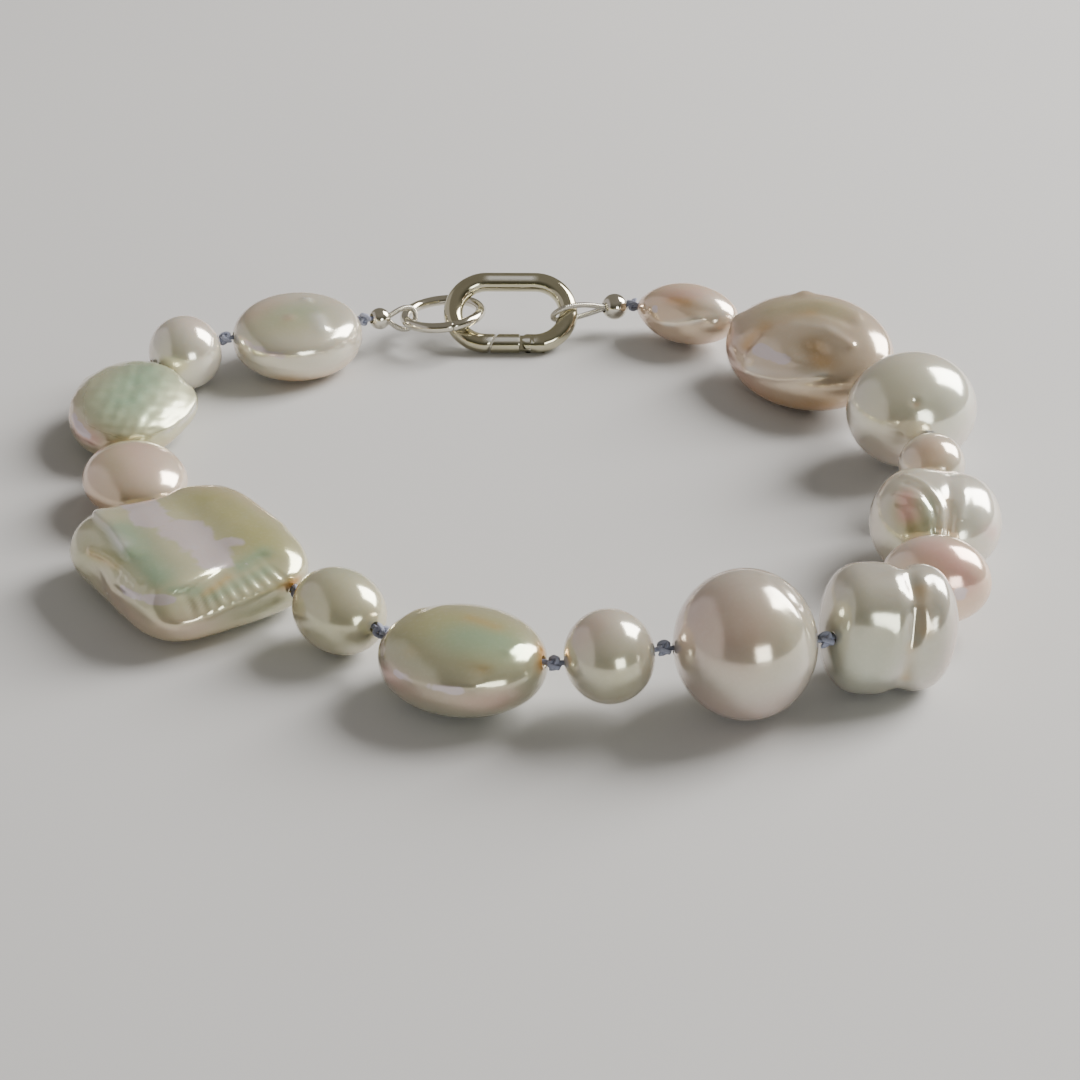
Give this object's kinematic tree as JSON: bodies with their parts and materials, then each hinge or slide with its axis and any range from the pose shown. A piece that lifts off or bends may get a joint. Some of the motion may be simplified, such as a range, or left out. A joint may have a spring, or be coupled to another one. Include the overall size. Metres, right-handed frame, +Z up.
{
  "type": "pearl bracelet",
  "caption": "Closed bracelet of irregular freshwater pearls knotted on silk, with a jump ring and an oval silver clasp, lying flat.",
  "frame": {"origin": "on the surface that the bracelet lies on, under the middle of its bounding box", "axes": "+Z is up from the surface; the clasp is at the +Y side; +X is to the right seen from the -Y side"},
  "size_m": [0.0708, 0.0648, 0.0103],
  "materials": {
    "nacre_cream": "lustrous cream nacre with faint rose and green",
    "nacre_rose": "lustrous rose-brown nacre with low growth ridges",
    "nacre_sage": "lustrous green-gold nacre with a pale rim",
    "nacre_peach": "lustrous peach nacre",
    "silver": "polished silver with light wear",
    "silk": "twisted blue-grey silk"
  },
  "bodies": {
    "root": {"pearl_01_oval_button": "nacre_cream", "pearl_02_round": "nacre_cream", "pearl_03_coin": "nacre_sage", "pearl_04_button": "nacre_peach", "pearl_05_square": "nacre_sage", "pearl_06_rice": "nacre_cream", "pearl_07_oval_coin": "nacre_sage", "pearl_08_round": "nacre_cream", "pearl_09_large_round": "nacre_cream", "pearl_10_twin": "nacre_cream", "pearl_11_pink_oval": "nacre_peach", "pearl_12_swirl": "nacre_cream", "pearl_13_small_round": "nacre_cream", "pearl_14_large_drop": "nacre_cream", "pearl_15_baroque_coin": "nacre_rose", "pearl_16_peach_oval": "nacre_peach", "bead_right": "silver", "bead_left": "silver", "wire_loop_right": "silver", "wire_loop_left": "silver", "jump_ring": "silver", "clasp_frame": "silver", "silk_thread": "silk"},
    "gate": {"clasp_gate": "silver"}
  },
  "joints": [
    {"name": "gate_hinge", "type": "hinge", "parent": "root", "child": "gate", "pos_m": [0.00097, 0.02676, 0.0008], "axis": [0.0053, 0.6428, -0.766], "range_deg": [0, 25], "stiffness_Nm_per_rad": 0.002, "springref_deg": -17.19}
  ]
}
